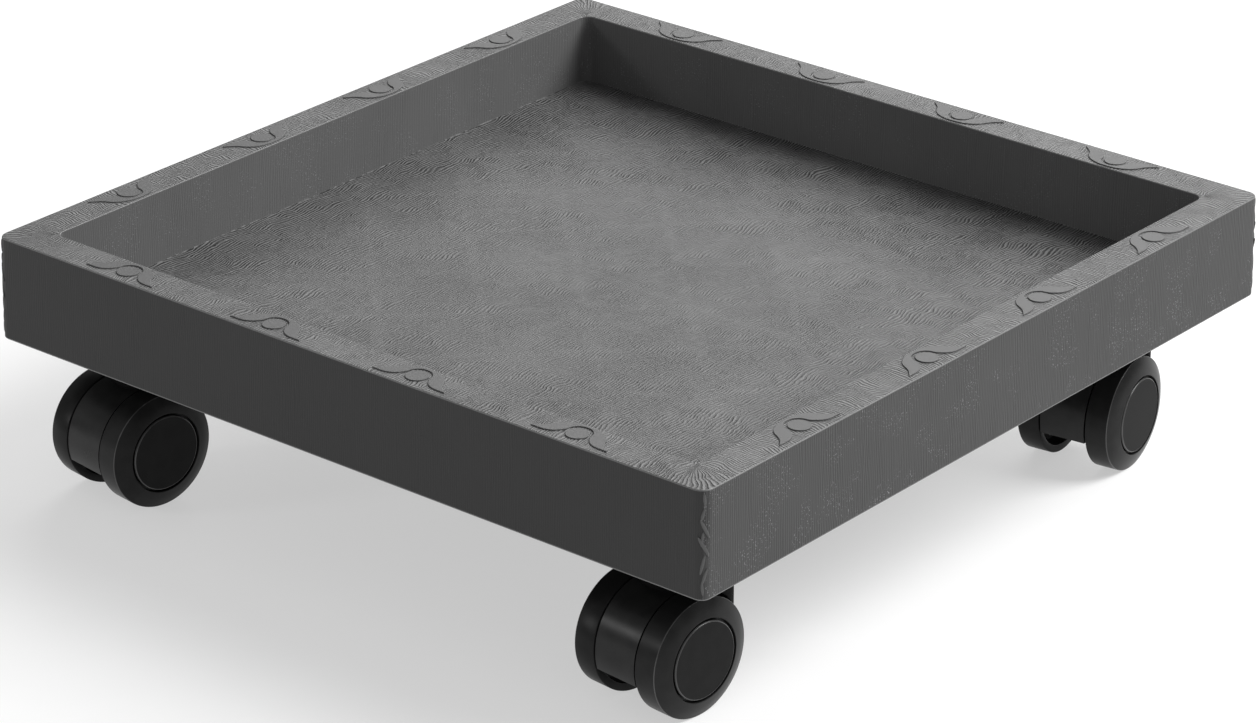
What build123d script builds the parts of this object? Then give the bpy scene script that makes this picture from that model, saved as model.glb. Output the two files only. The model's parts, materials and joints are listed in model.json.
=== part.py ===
"""Plant pot caddy: a square moulded tray on four twin-wheel swivel casters.

Millimetres. +Z is up, Z = 0 is the floor it stands on, and the origin is under the tray's centre.
The tray's front faces -Y and its right side faces +X.
"""
import os

from build123d import *

os.makedirs("parts", exist_ok=True)

# ---- Driving dimensions ----

TRAY_SIDE = 300.0          # across the rim
TRAY_FOOT_SIDE = 300.4     # across the skirt's lower edge: the mould's draft
TRAY_CORNER_R = 4.2        # outer corner at the rim
TRAY_FOOT_CORNER_R = 3.2   # outer corner at the lower edge
TRAY_HEIGHT = 36.5         # skirt's lower edge to the rim
RIM_WIDTH = 13.85
RECESS_DEPTH = 25.6
RECESS_CORNER_R = 3.5
EDGE_ROUND = 0.6
WALL = 2.5
FLOOR_THICKNESS = 2.9

RIB_THICKNESS = 1.6
RIB_PITCH = 34.5           # between parallel ribs of the diagonal lattice
RIB_SETBACK = 2.0          # the ribs stop this far above the skirt's lower edge

SCROLL_HEIGHT = 0.4        # low relief on the rim
SCROLL_PLACES = (-95.5, -30.5, 30.5, 95.5)
SCROLL_SETBACK = 6.8       # from the rim's outer edge to the middle of a scroll
SCROLL_BUTTON_R = 3.8
SCROLL_OUTER = [(-15, -4.2), (-11.6, -1.2), (-8.9, 3), (-5, 5.3), (0, 6)]
SCROLL_INNER = [(0, 4.9), (-3.7, 3.2), (-5.2, -0.6), (-8.5, -3.6), (-15, -4.2)]

PIVOT_OFFSET = 114.5       # caster pivots, from the tray's centre along X and Y
SWIVEL_ANGLES = {          # how far each caster stands turned at rest, in degrees
    "front_right": -5.0,
    "front_left": -7.7,
    "back_right": 6.7,
    "back_left": 3.0,
}

WHEEL_R = 20.0
WHEEL_TRAIL = 11.0         # axle behind the pivot, towards -Y
WHEEL_INNER_X = 8.7        # the wheels' inner edge, from the caster's middle
TREAD_OUTER_X = 16.9
WHEEL_FACE_X = 19.4
WHEEL_RIM_WALL = 2.6
HUB_R = 5.6
CAP_R = 13.6
CAP_RECESS_R = 13.9
CAP_RECESS_DEPTH = 1.8
CAP_FACE_X = 19.7

AXLE_R = 3.0
AXLE_HALF_LENGTH = 17.2
SNAP_X = 16.0              # groove near each axle end, which the wheel's hub snaps into
SNAP_WIDTH = 1.4
SNAP_DEPTH = 0.35
RUNNING_CLEARANCE = 0.05   # radial

HOOD_R = 19.8
HOOD_HALF_WIDTH = 8.4
HOOD_EDGE_DROP = 6.2       # the hood's lower edge, below the axle
HOOD_WALL = 2.0
NECK_R = 15.2
NECK_BOTTOM_Z = 26.0
NECK_TOP_Z = 47.2
NECK_ROOF = 3.0
STEM_BOSS_R = 6.8
STEM_BOSS_BOTTOM_Z = 32.5
AXLE_BOSS_R = 5.2
WHEEL_CLEARANCE = 1.0

COLLAR_R = 10.0
COLLAR_BOTTOM_Z = 47.5
COLLAR_THICKNESS = 1.5
STEM_R = 4.0               # below the collar, in the hood
STEM_BOTTOM_Z = 30.0
SOCKET_STEM_R = 3.8        # above the collar, in the tray's socket
SOCKET_STEM_LENGTH = 13.4
SOCKET_R = 4.0
SOCKET_DEPTH = 13.8
SOCKET_BOSS_R = 11.0
GUSSET_REACH = 9.0
RING_GROOVE_R = 3.2
GRIP_RING_Z = 58.0
GRIP_RING_WIDTH = 2.0
CIRCLIP_R = 6.0
CIRCLIP_Z = 31.2
CIRCLIP_THICKNESS = 1.0
SPLIT_GAP = 1.2

# ---- Worked out from them ----

AXLE_Z = WHEEL_R
COLLAR_TOP_Z = COLLAR_BOTTOM_Z + COLLAR_THICKNESS
SKIRT_Z = 54.5
RIM_Z = SKIRT_Z + TRAY_HEIGHT
FLOOR_Z = RIM_Z - RECESS_DEPTH
FLOOR_UNDERSIDE_Z = FLOOR_Z - FLOOR_THICKNESS
RECESS_SIDE = TRAY_SIDE - 2 * RIM_WIDTH
CAVITY_SIDE = TRAY_FOOT_SIDE - 2 * WALL
CORE_SIDE = RECESS_SIDE + 2 * WALL    # the recess and its wall, seen from below
CORE_CORNER_R = RECESS_CORNER_R + WALL
OVERLAP = 0.2              # how far a piece of one solid reaches into the next before they fuse


def square_block(side, corner_r, bottom, top):
    """A square block with rounded upright corners."""
    outline = Pos(0, 0, bottom) * RectangleRounded(side, side, corner_r)
    return extrude(outline, top - bottom)


def upright_cylinder(radius, bottom, top, x=0, y=0):
    return Pos(x, y, (bottom + top) / 2) * Cylinder(radius, top - bottom)


def axle_cylinder(radius, from_x, to_x):
    """A cylinder about the caster's axle, between two distances from its middle."""
    place = Pos((from_x + to_x) / 2, -WHEEL_TRAIL, AXLE_Z) * Rot(0, 90, 0)
    return place * Cylinder(radius, to_x - from_x)


def both_sides(shape):
    return shape + mirror(shape, Plane.YZ)


# ---- Tray ----

def tray_shell():
    """Hollow-rimmed tray: skirt, rim, recess wall and floor, open underneath."""
    foot = Pos(0, 0, SKIRT_Z) * RectangleRounded(TRAY_FOOT_SIDE, TRAY_FOOT_SIDE, TRAY_FOOT_CORNER_R)
    rim = Pos(0, 0, RIM_Z) * RectangleRounded(TRAY_SIDE, TRAY_SIDE, TRAY_CORNER_R)
    shell = loft([foot, rim], ruled=True)
    shell -= square_block(RECESS_SIDE, RECESS_CORNER_R, FLOOR_Z, RIM_Z + WALL)
    rim_edges = shell.faces().filter_by(Axis.Z).sort_by(Axis.Z)[-1].edges()
    shell = fillet(rim_edges, EDGE_ROUND)
    corner_r = TRAY_FOOT_CORNER_R - WALL
    shell -= square_block(CAVITY_SIDE, corner_r, SKIRT_Z - WALL, FLOOR_UNDERSIDE_Z)
    hollow = square_block(CAVITY_SIDE, corner_r, FLOOR_UNDERSIDE_Z - OVERLAP, RIM_Z - WALL)
    shell -= hollow - square_block(CORE_SIDE, CORE_CORNER_R, SKIRT_Z, RIM_Z)
    return shell


def rib_lattice():
    """Diagonal ribs under the floor, and one each way through the middle."""
    bottom = SKIRT_Z + RIB_SETBACK
    height = FLOOR_UNDERSIDE_Z + OVERLAP - bottom
    rib = Pos(0, 0, bottom + height / 2) * Box(2 * TRAY_SIDE, RIB_THICKNESS, height)
    ribs = rib + Rot(0, 0, 90) * rib
    count = 6
    for index in range(-count, count):
        offset = (index + 0.5) * RIB_PITCH
        for angle in (45, 135):
            ribs += Rot(0, 0, angle) * Pos(0, offset, 0) * rib
    return ribs & square_block(CORE_SIDE, CORE_CORNER_R, SKIRT_Z, RIM_Z)


def socket_boss():
    """The boss that a caster's stem is pushed into, with four gussets, about its own axis."""
    boss = upright_cylinder(SOCKET_BOSS_R, COLLAR_TOP_Z, FLOOR_UNDERSIDE_Z + OVERLAP)
    inner = SOCKET_BOSS_R - WALL
    outer = SOCKET_BOSS_R + GUSSET_REACH
    top = FLOOR_UNDERSIDE_Z + OVERLAP
    outline = Polyline(
        (inner, COLLAR_TOP_Z + RIB_SETBACK),
        (outer, SKIRT_Z + RIB_SETBACK),
        (outer, top),
        (inner, top),
        close=True,
    )
    gusset = extrude(Plane.XZ * make_face(outline), RIB_THICKNESS / 2, both=True)
    for angle in (0, 90, 180, 270):
        boss += Rot(0, 0, angle) * gusset
    return boss


def scroll():
    """One scroll of the rim's low relief, flat on Z = 0: a bell-shaped leaf over a round button."""
    left = [Spline(SCROLL_OUTER), Spline(SCROLL_INNER)]
    half = Polyline(SCROLL_OUTER[-1], SCROLL_INNER[0])
    left_face = make_face(left + [half])
    leaf = left_face + mirror(left_face, Plane.YZ)
    relief = extrude(leaf, SCROLL_HEIGHT + OVERLAP)
    return [relief, upright_cylinder(SCROLL_BUTTON_R, 0, SCROLL_HEIGHT + OVERLAP)]


def make_tray():
    tray = tray_shell() + rib_lattice()
    boss = socket_boss()
    for x in (-PIVOT_OFFSET, PIVOT_OFFSET):
        for y in (-PIVOT_OFFSET, PIVOT_OFFSET):
            tray += Pos(x, y, 0) * boss
            socket_top = COLLAR_TOP_Z + SOCKET_DEPTH
            tray -= upright_cylinder(SOCKET_R, COLLAR_TOP_Z - OVERLAP, socket_top, x, y)
    middle = -TRAY_SIDE / 2 + SCROLL_SETBACK
    scrolls = []
    for side_angle in (0, 90, 180, 270):
        for place in SCROLL_PLACES:
            location = Rot(0, 0, side_angle) * Pos(place, middle, RIM_Z - OVERLAP)
            scrolls += [location * piece for piece in scroll()]
    return tray + scrolls


# ---- Caster, about its own pivot: the axle lies along X, behind the pivot towards -Y ----

def make_hood():
    """Nylon body between the wheels: hood over them, and the neck that turns on the stem."""
    neck = upright_cylinder(NECK_R, NECK_BOTTOM_Z, NECK_TOP_Z)
    neck = fillet(neck.edges().sort_by(Axis.Z)[-1], EDGE_ROUND)
    wheel_space = both_sides(axle_cylinder(WHEEL_R + WHEEL_CLEARANCE, HOOD_HALF_WIDTH, NECK_R + WALL))
    hood = axle_cylinder(HOOD_R, -HOOD_HALF_WIDTH, HOOD_HALF_WIDTH) + (neck - wheel_space)

    inner_half_width = HOOD_HALF_WIDTH - HOOD_WALL
    drum_core = axle_cylinder(HOOD_R - HOOD_WALL, -inner_half_width, inner_half_width)
    neck_core = upright_cylinder(NECK_R - HOOD_WALL, 0, NECK_TOP_Z - NECK_ROOF)
    wall_r = WHEEL_R + WHEEL_CLEARANCE + HOOD_WALL
    neck_core -= both_sides(axle_cylinder(wall_r, inner_half_width, NECK_R + WALL))
    hood -= drum_core + neck_core

    hood += axle_cylinder(AXLE_BOSS_R, -HOOD_HALF_WIDTH, HOOD_HALF_WIDTH)
    hood += upright_cylinder(STEM_BOSS_R, STEM_BOSS_BOTTOM_Z, NECK_TOP_Z - OVERLAP)
    spine_height = STEM_BOSS_BOTTOM_Z + HOOD_WALL - AXLE_Z
    hood += Pos(0, -WHEEL_TRAIL, AXLE_Z + spine_height / 2) * Box(HOOD_WALL, WHEEL_TRAIL, spine_height)
    hood -= upright_cylinder(CIRCLIP_R + WHEEL_CLEARANCE, STEM_BOTTOM_Z, STEM_BOSS_BOTTOM_Z)
    edge_z = AXLE_Z - HOOD_EDGE_DROP
    hood -= Pos(0, 0, edge_z / 2) * Box(TRAY_SIDE, TRAY_SIDE, edge_z)
    hood -= upright_cylinder(STEM_R + RUNNING_CLEARANCE, STEM_BOTTOM_Z, NECK_TOP_Z + WALL)
    hood -= axle_cylinder(AXLE_R, -HOOD_HALF_WIDTH - WALL, HOOD_HALF_WIDTH + WALL)
    return hood


def make_axle():
    """Steel pin, pressed through the hood, with a snap groove near each end."""
    axle = axle_cylinder(AXLE_R, -AXLE_HALF_LENGTH, AXLE_HALF_LENGTH)
    axle = chamfer(axle.edges(), SNAP_DEPTH)
    half = SNAP_WIDTH / 2
    groove = axle_cylinder(AXLE_R + WALL, SNAP_X - half, SNAP_X + half)
    groove -= axle_cylinder(AXLE_R - SNAP_DEPTH, SNAP_X - half, SNAP_X + half)
    return axle - both_sides(groove)


def make_wheel():
    """Moulded nylon wheel: tread, coned face with a recess for the cap, web and hub.

    Drawn as half a section, distance from the caster's middle against radius, and spun about the axle.
    """
    bore_r = AXLE_R + RUNNING_CLEARANCE
    bead_half = SNAP_WIDTH / 2 - 2 * RUNNING_CLEARANCE
    bead_r = bore_r - SNAP_DEPTH
    recess_x = WHEEL_FACE_X - CAP_RECESS_DEPTH
    web_x = recess_x - HOOD_WALL
    rim_inner_r = WHEEL_R - WHEEL_RIM_WALL
    shoulder_r = WHEEL_R - EDGE_ROUND
    shoulder_start_x = TREAD_OUTER_X - 1.0
    face_bulge = ((TREAD_OUTER_X + WHEEL_FACE_X) / 2 + 0.45, (shoulder_r + CAP_RECESS_R) / 2 + 0.2)
    section = [
        Polyline(
            (recess_x, CAP_RECESS_R),
            (recess_x, bore_r),
            (SNAP_X + bead_half, bore_r),
            (SNAP_X, bead_r),
            (SNAP_X - bead_half, bore_r),
            (WHEEL_INNER_X, bore_r),
            (WHEEL_INNER_X, HUB_R),
            (web_x, HUB_R),
            (web_x, CAP_RECESS_R - WALL),
            (web_x - 1.0, rim_inner_r),
            (WHEEL_INNER_X, rim_inner_r),
            (WHEEL_INNER_X, WHEEL_R - 0.3),
            (WHEEL_INNER_X + 0.3, WHEEL_R),
            (shoulder_start_x, WHEEL_R),
        ),
        TangentArc((shoulder_start_x, WHEEL_R), (TREAD_OUTER_X, shoulder_r), tangent=(1, 0)),
        ThreePointArc((TREAD_OUTER_X, shoulder_r), face_bulge, (WHEEL_FACE_X, CAP_RECESS_R + 0.3)),
        Polyline(
            (WHEEL_FACE_X, CAP_RECESS_R + 0.3),
            (WHEEL_FACE_X - 0.3, CAP_RECESS_R),
            (recess_x, CAP_RECESS_R),
        ),
    ]
    wheel = revolve(make_face(section), Axis.X)
    return Pos(0, -WHEEL_TRAIL, AXLE_Z) * wheel


def make_cap():
    """Hub cap, let into the wheel's face with a narrow groove left round it."""
    seat_x = WHEEL_FACE_X - CAP_RECESS_DEPTH
    edge_x = CAP_FACE_X - 0.5
    section = [
        Polyline(
            (CAP_FACE_X, 0),
            (seat_x, 0),
            (seat_x, CAP_R),
            (edge_x, CAP_R),
        ),
        ThreePointArc((edge_x, CAP_R), (CAP_FACE_X - 0.2, CAP_R - 0.25), (CAP_FACE_X - 0.1, CAP_R - 0.8)),
        Polyline((CAP_FACE_X - 0.1, CAP_R - 0.8), (CAP_FACE_X, 0)),
    ]
    cap = revolve(make_face(section), Axis.X)
    return Pos(0, -WHEEL_TRAIL, AXLE_Z) * cap


def make_stem():
    """Steel stem: the hood turns on it below the collar, and the tray's socket grips it above."""
    stem = upright_cylinder(STEM_R, STEM_BOTTOM_Z, COLLAR_BOTTOM_Z)
    stem += upright_cylinder(COLLAR_R, COLLAR_BOTTOM_Z, COLLAR_TOP_Z)
    stem += upright_cylinder(SOCKET_STEM_R, COLLAR_TOP_Z, COLLAR_TOP_Z + SOCKET_STEM_LENGTH)
    end_edges = stem.edges().sort_by(Axis.Z)
    stem = chamfer([end_edges[0], end_edges[-1]], SNAP_DEPTH)
    for radius, bottom, width in (
        (SOCKET_STEM_R, GRIP_RING_Z, GRIP_RING_WIDTH),
        (STEM_R, CIRCLIP_Z, CIRCLIP_THICKNESS),
    ):
        groove = upright_cylinder(radius + WALL, bottom, bottom + width)
        stem -= groove - upright_cylinder(RING_GROOVE_R, bottom, bottom + width)
    return stem


def split_ring(inner_r, outer_r, bottom, thickness):
    """A flat or tall ring with a gap towards +Y."""
    ring = upright_cylinder(outer_r, bottom, bottom + thickness)
    ring -= upright_cylinder(inner_r, bottom, bottom + thickness)
    return ring - Pos(0, outer_r, bottom) * Box(SPLIT_GAP, 2 * outer_r, 4 * thickness)


def write_casters():
    """Each caster's pieces, turned to its rest angle about its pivot."""
    wheel = make_wheel()
    cap = make_cap()
    pieces = {
        "stem": make_stem(),
        "grip_ring": split_ring(RING_GROOVE_R, SOCKET_R, GRIP_RING_Z, GRIP_RING_WIDTH),
        "circlip": split_ring(RING_GROOVE_R, CIRCLIP_R, CIRCLIP_Z, CIRCLIP_THICKNESS),
        "hood": make_hood(),
        "axle": make_axle(),
        "wheel_right": wheel,
        "wheel_left": mirror(wheel, Plane.YZ),
        "hub_cap_right": cap,
        "hub_cap_left": mirror(cap, Plane.YZ),
    }
    for corner, angle in SWIVEL_ANGLES.items():
        x = PIVOT_OFFSET if "right" in corner else -PIVOT_OFFSET
        y = PIVOT_OFFSET if "back" in corner else -PIVOT_OFFSET
        place = Pos(x, y, 0) * Rot(0, 0, angle)
        for name, piece in pieces.items():
            export_step(place * piece, f"parts/{corner}_{name}.step")


export_step(make_tray(), "parts/tray.step")
write_casters()
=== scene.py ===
"""Plant pot caddy: a charcoal wood-grain tray on four hooded twin-wheel casters."""
import json
from math import atan2, pi, radians

import bmesh
import bpy
from mathutils import Matrix, Vector


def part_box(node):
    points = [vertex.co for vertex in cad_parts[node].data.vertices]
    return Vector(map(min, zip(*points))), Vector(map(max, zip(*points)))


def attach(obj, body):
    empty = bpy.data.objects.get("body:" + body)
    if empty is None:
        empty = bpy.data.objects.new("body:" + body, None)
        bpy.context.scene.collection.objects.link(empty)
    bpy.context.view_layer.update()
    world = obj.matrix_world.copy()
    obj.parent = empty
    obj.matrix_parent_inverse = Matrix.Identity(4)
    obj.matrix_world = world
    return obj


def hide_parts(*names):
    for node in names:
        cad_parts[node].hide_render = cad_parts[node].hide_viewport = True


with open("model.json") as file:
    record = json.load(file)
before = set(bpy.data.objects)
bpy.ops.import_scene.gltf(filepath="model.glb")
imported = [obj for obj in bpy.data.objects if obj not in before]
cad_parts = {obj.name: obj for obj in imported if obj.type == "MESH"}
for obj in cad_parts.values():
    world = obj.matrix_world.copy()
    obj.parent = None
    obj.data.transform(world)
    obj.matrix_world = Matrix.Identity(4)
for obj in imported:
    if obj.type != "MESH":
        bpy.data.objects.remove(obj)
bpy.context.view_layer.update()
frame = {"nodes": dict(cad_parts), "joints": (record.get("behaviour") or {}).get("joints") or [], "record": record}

# ---------------------------------------------------------------------------------------------
# Camera. It stands off the front right corner, a little above the caddy, with a long lens.
# ---------------------------------------------------------------------------------------------

CAMERA_PLACE = Vector((0.9398, -1.1427, 0.7106))
CAMERA_AIM = Vector((0.0026, -0.0063, 0.0402))
CAMERA_ROLL = radians(0.24)
CAMERA_LENS = 137.3

bpy.ops.object.select_all(action="DESELECT")
bpy.ops.object.camera_add(location=CAMERA_PLACE)
camera = bpy.context.object
camera.name = "camera"
camera.data.lens = CAMERA_LENS
camera.data.sensor_width = 36.0
camera.data.clip_end = 20.0
look = (CAMERA_AIM - CAMERA_PLACE).to_track_quat("-Z", "Y").to_matrix()
camera.rotation_euler = (look @ Matrix.Rotation(CAMERA_ROLL, 3, "Z")).to_euler()
bpy.context.scene.camera = camera

# ---------------------------------------------------------------------------------------------
# Stage. A light table of opal acrylic, a large softbox above the back right corner, one low behind
# that the tray's top mirrors, a small one at the front left, and a dim even surround.
# ---------------------------------------------------------------------------------------------


def linear(hex_colour):
    """An sRGB hex colour as linear red, green, blue and alpha."""
    channels = [int(hex_colour[i:i + 2], 16) / 255 for i in (1, 3, 5)]
    return [c / 12.92 if c <= 0.04045 else ((c + 0.055) / 1.055) ** 2.4 for c in channels] + [1.0]


def add(tree, kind, inputs=(), out=0, **settings):
    """Adds a node with its settings, sets or links its inputs, and gives one of its outputs."""
    new = tree.nodes.new(kind)
    for name, value in settings.items():
        setattr(new, name, value)
    for key, value in dict(inputs).items():
        if isinstance(value, bpy.types.NodeSocket):
            tree.links.new(value, new.inputs[key])
        else:
            new.inputs[key].default_value = value
    return new.outputs[out]


def new_material(name):
    """An empty material's node tree, and the place on the piece that its patterns start from."""
    material = bpy.data.materials.new(name)
    material.use_nodes = True
    material.node_tree.nodes.clear()
    return material, material.node_tree, add(material.node_tree, "ShaderNodeTexCoord", out="Object")


def finish_with(tree, inputs):
    """Ends a material with one shader."""
    shader = add(tree, "ShaderNodeBsdfPrincipled", inputs)
    output = tree.nodes.new("ShaderNodeOutputMaterial")
    tree.links.new(shader, output.inputs["Surface"])


TABLE_SIDE = 12.0
ACRYLIC_MOTTLE = 0.025
TABLE_GLOW = 0.5

bpy.ops.mesh.primitive_plane_add(size=TABLE_SIDE, location=(0, 0, 0))
floor = bpy.context.object
floor.name = "studio_floor"
# Opal acrylic, lit from below: barely mottled, no gloss, and shadows on it stay pale.
acrylic, tree, place = new_material("matt opal acrylic")
mottle = add(tree, "ShaderNodeTexNoise", {"Vector": place, "Scale": 1 / ACRYLIC_MOTTLE})
tone = add(tree, "ShaderNodeMix", {0: mottle, 6: linear("#b8b8b8"), 7: linear("#bcbcbc")},
           out=2, data_type="RGBA")
finish_with(tree, {"Base Color": tone, "Roughness": 0.9, "Specular IOR Level": 0.1,
                   "Emission Color": linear("#ffffff"), "Emission Strength": TABLE_GLOW})
floor.data.materials.append(acrylic)

STAGE_MIDDLE = Vector((0, 0, 0.05))


def soft_light(name, place, size, watts):
    """A rectangular studio softbox that faces the middle of the stage."""
    bpy.ops.object.light_add(type="AREA", location=place)
    light = bpy.context.object
    light.name = name
    light.data.shape = "RECTANGLE"
    light.data.size = size[0]
    light.data.size_y = size[1]
    light.data.energy = watts
    light.rotation_euler = (STAGE_MIDDLE - Vector(place)).to_track_quat("-Z", "Y").to_euler()


soft_light("overhead_softbox", place=(1.25, 1.1, 1.7), size=(1.4, 1.4), watts=72)
soft_light("back_softbox", place=(-0.9, 2.2, 1.3), size=(2.2, 1.2), watts=33)
soft_light("front_left_softbox", place=(-1.3, -1.7, 0.85), size=(0.4, 0.3), watts=4.5)

SURROUND_STRENGTH = 0.3
world = bpy.data.worlds.new("studio_surround")
bpy.context.scene.world = world
world.use_nodes = True
world.node_tree.nodes["Background"].inputs["Color"].default_value = linear("#ffffff")
world.node_tree.nodes["Background"].inputs["Strength"].default_value = SURROUND_STRENGTH
bpy.context.scene.view_settings.view_transform = "Standard"

# ---------------------------------------------------------------------------------------------
# Tray. One polypropylene moulding, charcoal right through, with a wood grain cut into the mould:
# a drafted skirt, a rim with scrolls in low relief, a recess for the pot, and ribs underneath.
# ---------------------------------------------------------------------------------------------

MM = 0.001
TRAY_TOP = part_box("tray")[1].z
RIM_SIDE = 300.0 * MM
FOOT_SIDE = 300.4 * MM
RIM_CORNER = 4.2 * MM
FOOT_CORNER = 3.2 * MM
RELIEF_HEIGHT = 0.4 * MM
RIM_TOP = TRAY_TOP - RELIEF_HEIGHT
SKIRT_BOTTOM = RIM_TOP - 36.5 * MM
RIM_WIDTH = 13.85 * MM
RECESS_SIDE = RIM_SIDE - 2 * RIM_WIDTH
RECESS_FLOOR = frame["record"]["mounts"][0]["pos_m"][2]
WALL = 2.5 * MM
FLOOR_THICKNESS = 2.9 * MM
CORNER_SEGMENTS = 8
OVERLAP = 0.2 * MM
MERGED = 0.002 * MM
# How far along an axis the normal of a face points, when the face lies nearly square to that axis.
SQUARE_ON = 0.9


def make_active(piece):
    """Deselects everything else, so that an operator acts on this piece alone."""
    bpy.ops.object.select_all(action="DESELECT")
    piece.select_set(True)
    bpy.context.view_layer.objects.active = piece


def join(pieces, name):
    """Joins pieces into the first of them."""
    make_active(pieces[0])
    for piece in pieces:
        piece.select_set(True)
    bpy.ops.object.join()
    bpy.context.object.name = name
    return bpy.context.object


def apply_modifier(piece, kind, **settings):
    """Adds a modifier with its settings and applies it."""
    modifier = piece.modifiers.new("working", kind)
    for name, value in settings.items():
        setattr(modifier, name, value)
    make_active(piece)
    bpy.ops.object.modifier_apply(modifier=modifier.name)


def combine(piece, tool, operation):
    """Adds a tool body to a piece, cuts it away or keeps what both share, and removes the tool."""
    apply_modifier(piece, "BOOLEAN", object=tool, operation=operation, solver="EXACT")
    bpy.data.objects.remove(tool)


def smooth(piece, sharp_angle):
    """Shades a piece smooth over its rounded edges and flat on its flats."""
    make_active(piece)
    bpy.ops.object.shade_smooth_by_angle(angle=radians(sharp_angle))
    apply_modifier(piece, "WEIGHTED_NORMAL", keep_sharp=True)


def close_to(a, b, within=1e-5):
    """Whether two measures are the same, or nearly."""
    return abs(a - b) < within


def rounded_square(side, corner, height):
    """A flat square with its corners rounded, lying at a height."""
    bpy.ops.object.select_all(action="DESELECT")
    bpy.ops.mesh.primitive_plane_add(size=side, location=(0, 0, height))
    bpy.ops.object.mode_set(mode="EDIT")
    bpy.ops.mesh.select_all(action="SELECT")
    bpy.ops.mesh.bevel(offset=corner, segments=CORNER_SEGMENTS, affect="VERTICES")
    bpy.ops.object.mode_set(mode="OBJECT")
    bpy.ops.object.transform_apply()
    return bpy.context.object


def select_faces(piece, wanted):
    """In edit mode, selects the faces whose middle and normal pass a test, and no others."""
    bpy.ops.mesh.select_mode(type="FACE")
    bpy.ops.mesh.select_all(action="DESELECT")
    mesh = bmesh.from_edit_mesh(piece.data)
    for face in mesh.faces:
        if wanted(face.calc_center_median(), face.normal):
            face.select_set(True)
    mesh.select_flush_mode()
    bmesh.update_edit_mesh(piece.data)


def select_edges(piece, wanted):
    """In edit mode, selects the edges whose two ends pass a test, and no others."""
    bpy.ops.mesh.select_mode(type="EDGE")
    bpy.ops.mesh.select_all(action="DESELECT")
    mesh = bmesh.from_edit_mesh(piece.data)
    for edge in mesh.edges:
        if wanted(*(vertex.co for vertex in edge.verts)):
            edge.select_set(True)
    mesh.select_flush_mode()
    bmesh.update_edit_mesh(piece.data)


def scaled_extrude(factor, rise=0.0):
    """Extrudes the selected flat face, scales it about the upright axis and moves it up or down."""
    bpy.ops.mesh.extrude_region_move(TRANSFORM_OT_translate={"value": (0, 0, rise)})
    bpy.ops.transform.resize(value=(factor, factor, 1), center_override=(0, 0, 0))


# The skirt is a block drawn between two rounded squares. It widens a little towards its foot, the
# mould's draft, and its corners are tighter there.
tray = join([rounded_square(FOOT_SIDE, FOOT_CORNER, SKIRT_BOTTOM),
             rounded_square(RIM_SIDE, RIM_CORNER, RIM_TOP)], "tray_moulding")
bpy.ops.object.mode_set(mode="EDIT")
bpy.ops.mesh.select_all(action="SELECT")
bpy.ops.mesh.delete(type="ONLY_FACE")
bpy.ops.mesh.select_mode(type="EDGE")
bpy.ops.mesh.select_all(action="SELECT")
bpy.ops.mesh.bridge_edge_loops()
bpy.ops.mesh.select_all(action="SELECT")
bpy.ops.mesh.fill_holes(sides=0)
bpy.ops.mesh.select_all(action="SELECT")
bpy.ops.mesh.normals_make_consistent(inside=False)

# The recess is let into the top, and the underside is hollowed, deepest inside the rim.
select_faces(tray, lambda middle, normal: normal.z > SQUARE_ON)
scaled_extrude(RECESS_SIDE / RIM_SIDE)
scaled_extrude(1.0, RECESS_FLOOR - RIM_TOP)
select_faces(tray, lambda middle, normal: normal.z < -SQUARE_ON)
CAVITY_SIDE = FOOT_SIDE - 2 * WALL
CORE_SIDE = RECESS_SIDE + 2 * WALL
FLOOR_UNDERSIDE = RECESS_FLOOR - FLOOR_THICKNESS
scaled_extrude(CAVITY_SIDE / FOOT_SIDE)
scaled_extrude(1.0, FLOOR_UNDERSIDE - SKIRT_BOTTOM)
scaled_extrude(CORE_SIDE / CAVITY_SIDE)


def in_rim_hollow(middle, normal):
    """Whether a face is the part of the underside between the recess and the skirt."""
    across = max(abs(middle.x), abs(middle.y))
    return normal.z < -SQUARE_ON and close_to(middle.z, FLOOR_UNDERSIDE) and across > CORE_SIDE / 2


select_faces(tray, in_rim_hollow)
bpy.ops.mesh.extrude_region_move(
    TRANSFORM_OT_translate={"value": (0, 0, RIM_TOP - WALL - FLOOR_UNDERSIDE)})


def round_the_tray(height, side):
    """A test for the edges that run round the tray at one height, along one rounded square."""
    corner_depth = 2 * MM

    def test(a, b):
        level = close_to(a.z, height) and close_to(b.z, height)
        reaches = [max(abs(end.x), abs(end.y)) for end in (a, b)]
        return level and all(close_to(reach, side / 2, corner_depth) for reach in reaches)
    return test


# The moulding's edges: the rim's two and the skirt's lower one are a little rounded, and the floor
# meets the walls in a small fillet.
RIM_EDGE = 0.4 * MM
FLOOR_FILLET = 0.25 * MM
FOOT_EDGE = 0.6 * MM
EDGE_SEGMENTS = 4
for height, side, offset in (
    (RIM_TOP, RIM_SIDE, RIM_EDGE),
    (RIM_TOP, RECESS_SIDE, RIM_EDGE),
    (RECESS_FLOOR, RECESS_SIDE, FLOOR_FILLET),
    (SKIRT_BOTTOM, FOOT_SIDE, FOOT_EDGE),
):
    select_edges(tray, round_the_tray(height, side))
    bpy.ops.mesh.bevel(offset=offset, segments=EDGE_SEGMENTS, affect="EDGES")
bpy.ops.object.mode_set(mode="OBJECT")

# Ribs under the floor: a lattice on the two diagonals, and one rib each way through the middle.
RIB_THICKNESS = 1.6 * MM
RIB_PITCH = 34.5 * MM
RIBS_EACH_WAY = 12
RIB_BOTTOM = SKIRT_BOTTOM + 2.0 * MM
RIB_HEIGHT = FLOOR_UNDERSIDE + OVERLAP - RIB_BOTTOM


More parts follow.
